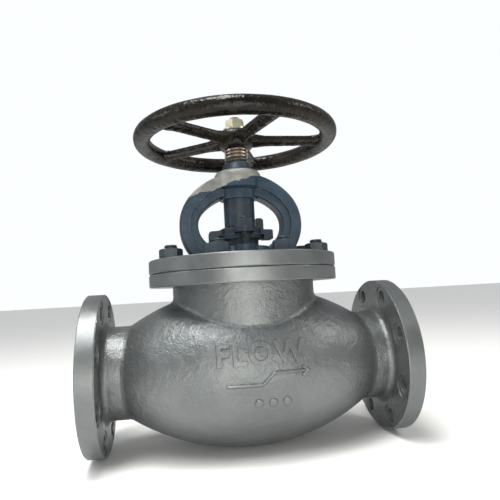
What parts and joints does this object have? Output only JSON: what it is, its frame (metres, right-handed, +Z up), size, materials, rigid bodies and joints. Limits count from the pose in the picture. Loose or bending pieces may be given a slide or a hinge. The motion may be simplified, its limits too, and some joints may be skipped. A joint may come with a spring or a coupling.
{
  "type": "globe valve",
  "caption": "Flanged globe valve with an S-shaped waterway, bolted bonnet with a cast yoke, rising screwed stem, plug disc and handwheel.",
  "frame": {"origin": "on the pipe axis, in the plane of the inlet flange's rim where its bolt holes open; the raised face stands 2 mm proud", "axes": "+X along the flow from inlet to outlet, +Z up along the stem to the handwheel, +Y to the left of the flow"},
  "size_m": [0.426, 0.2914, 0.459],
  "materials": {
    "body_paint": "satin silver-grey paint over sand-cast steel",
    "yoke_paint": "satin blue-grey paint over sand-cast steel",
    "gland_paint": "matt slate paint over cast steel",
    "stud_paint": "blue-grey paint over forged steel",
    "yoke_bush": "bronze, painted over with the yoke",
    "stem_steel": "turned stainless steel, greased thread",
    "seat_trim": "turned stainless steel",
    "steel_hardware": "plain steel",
    "passivated_hardware": "pale yellow passivated steel",
    "graphite": "matt braided graphite",
    "handwheel_paint": "gloss black enamel over rough cast iron"
  },
  "bodies": {
    "valve_body": {"body": "body_paint", "seat_ring": "seat_trim", "bonnet": "yoke_paint", "bonnet_gasket": "graphite", "bonnet_studs": "stud_paint", "bonnet_nuts": "stud_paint", "back_seat_bush": "seat_trim", "packing_bottom_ring": "steel_hardware", "packing_ring_1": "graphite", "packing_ring_2": "graphite", "packing_ring_3": "graphite", "packing_ring_4": "graphite", "gland": "gland_paint", "gland_flange": "gland_paint", "gland_studs": "stud_paint", "gland_nuts": "stud_paint", "yoke_bush": "yoke_bush", "bush_grub_screw": "steel_hardware"},
    "disc_assembly": {"disc": "seat_trim", "disc_nut": "seat_trim", "thrust_pad": "seat_trim"},
    "spindle": {"stem": "stem_steel", "handwheel": "handwheel_paint", "handwheel_washer": "passivated_hardware", "handwheel_nut": "passivated_hardware"}
  },
  "joints": [
    {"name": "disc_lift", "type": "slide", "parent": "valve_body", "child": "disc_assembly", "axis": [0, 0, 1], "range_m": [0, 0.028]},
    {"name": "handwheel_turn", "type": "hinge", "parent": "disc_assembly", "child": "spindle", "pos_m": [0.211, 0, 0.3183], "axis": [0, 0, 1], "range_deg": [0, 2016]}
  ],
  "couplings": [
    {"joint": "disc_lift", "follows": "handwheel_turn", "m_per_rad": 0.00079577}
  ]
}
